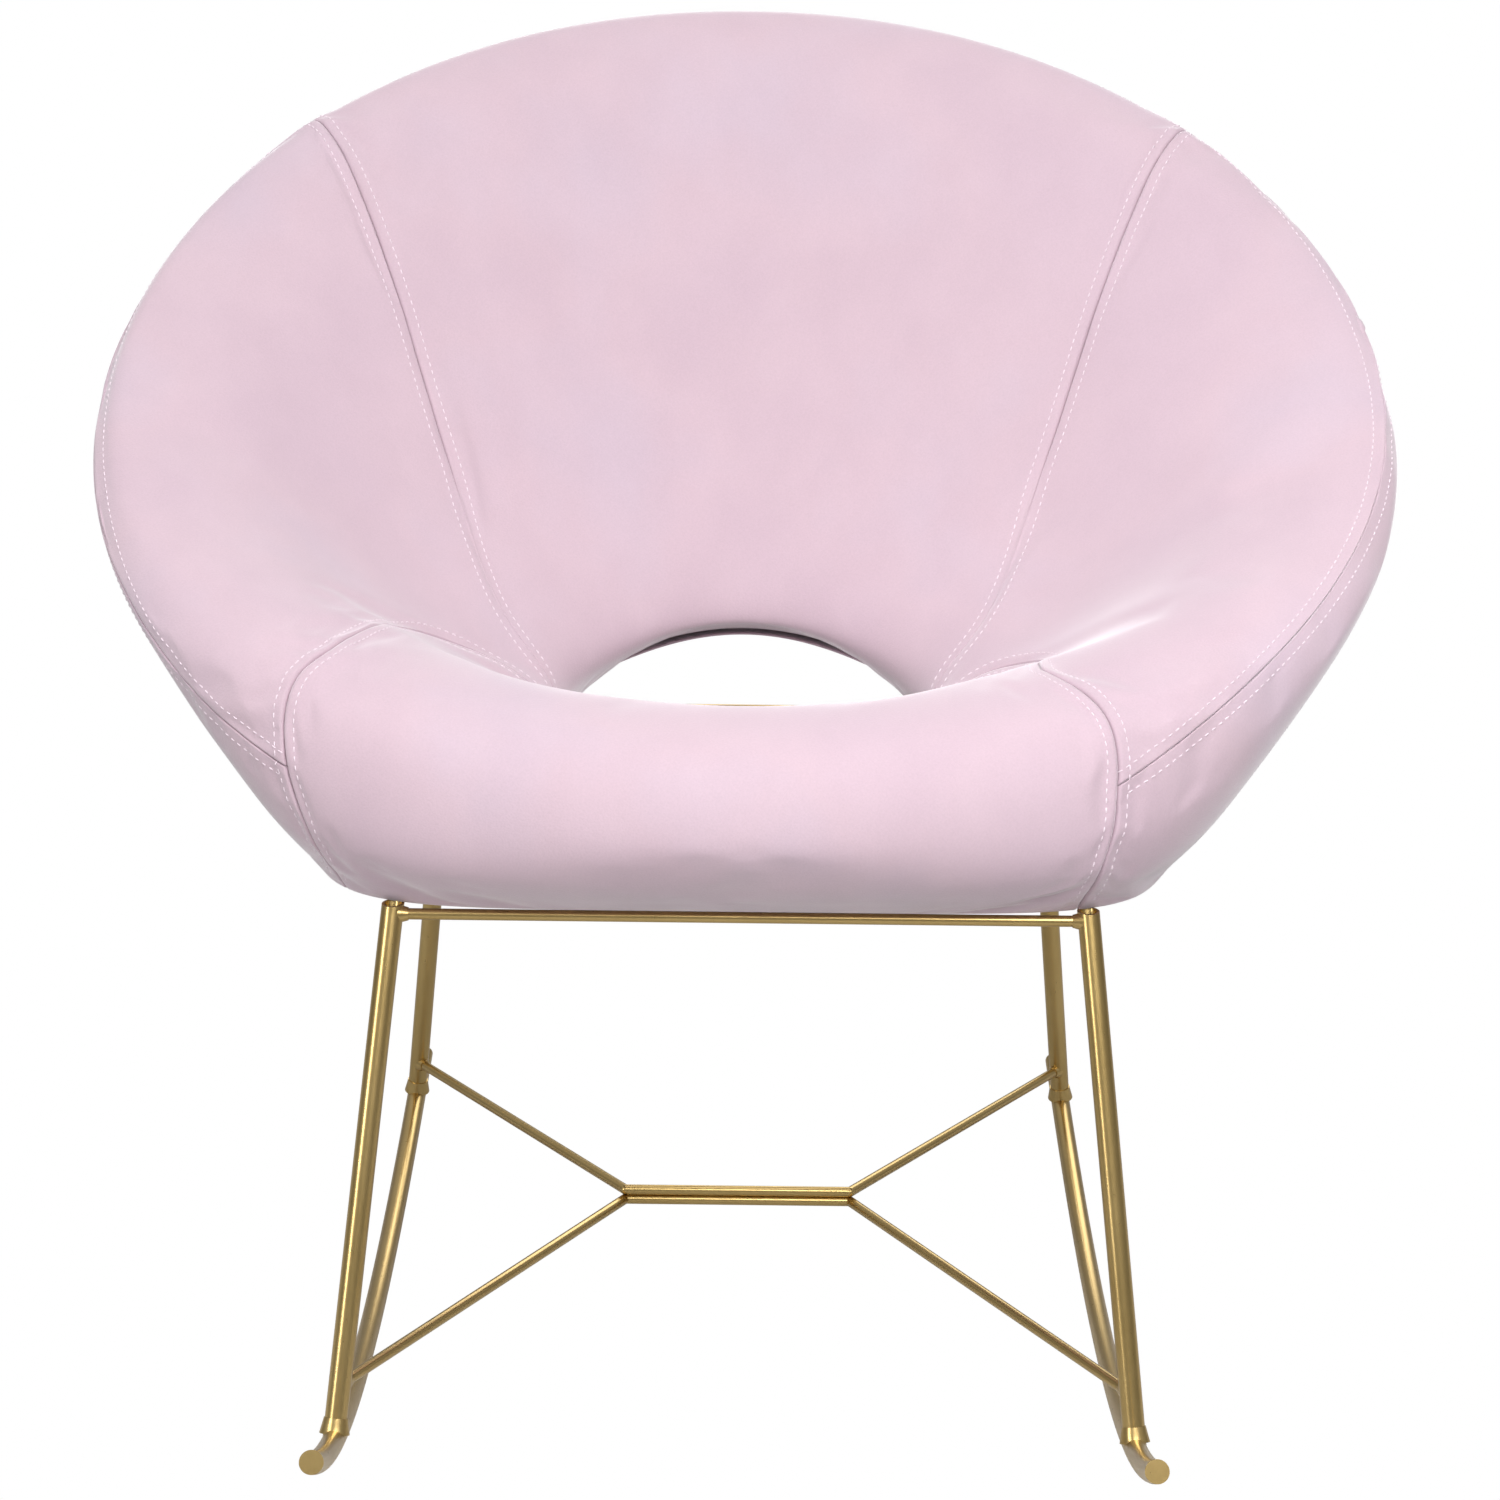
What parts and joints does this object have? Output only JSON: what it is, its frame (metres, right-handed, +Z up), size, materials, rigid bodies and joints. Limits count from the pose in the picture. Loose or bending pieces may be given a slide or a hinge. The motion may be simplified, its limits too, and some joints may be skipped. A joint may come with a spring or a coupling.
{
  "type": "rocking chair",
  "caption": "Rocking chair with an upholstered ring seat, open in the middle, rising to a rounded back, on a welded tube frame with curved rockers.",
  "frame": {"origin": "on the floor, under the middle of the whole chair", "axes": "+Z up, +Y towards the back of the chair, which faces -Y, +X to the right as seen from the front"},
  "size_m": [0.7887, 0.8342, 0.778],
  "materials": {
    "satin_gold": "satin gold",
    "zinc": "zinc plated",
    "plywood": "bare sanded plywood",
    "dust_cloth": "black non-woven cloth",
    "raw_steel": "dark primer",
    "webbing": "woven elastic webbing",
    "foam": "open-cell foam",
    "velvet": "short-pile velvet"
  },
  "bodies": {
    "root": {"left_rocker": "satin_gold", "right_rocker": "satin_gold", "rocker_end_caps": "satin_gold", "front_left_leg": "satin_gold", "front_right_leg": "satin_gold", "rear_left_leg": "satin_gold", "rear_right_leg": "satin_gold", "front_rail": "satin_gold", "rear_rail": "satin_gold", "left_side_rail": "satin_gold", "right_side_rail": "satin_gold", "front_brace": "satin_gold", "rear_brace": "satin_gold", "weld_beads": "satin_gold", "mounting_plates": "satin_gold", "seat_bolts": "zinc", "bolt_washers": "zinc", "tee_nuts": "zinc", "base_board": "plywood", "dust_cover": "dust_cloth", "rim_hoop": "raw_steel", "hole_hoop": "raw_steel", "hoop_struts": "raw_steel", "hole_hoop_posts": "raw_steel", "webbing_straps": "webbing", "front_foam": "foam", "left_foam": "foam", "right_foam": "foam", "back_foam": "foam", "front_cover": "velvet", "left_inside_cover": "velvet", "right_inside_cover": "velvet", "back_inside_cover": "velvet", "left_outer_cover": "velvet", "right_outer_cover": "velvet", "back_outer_cover": "velvet", "rear_arch_cover": "velvet"}
  },
  "joints": []
}
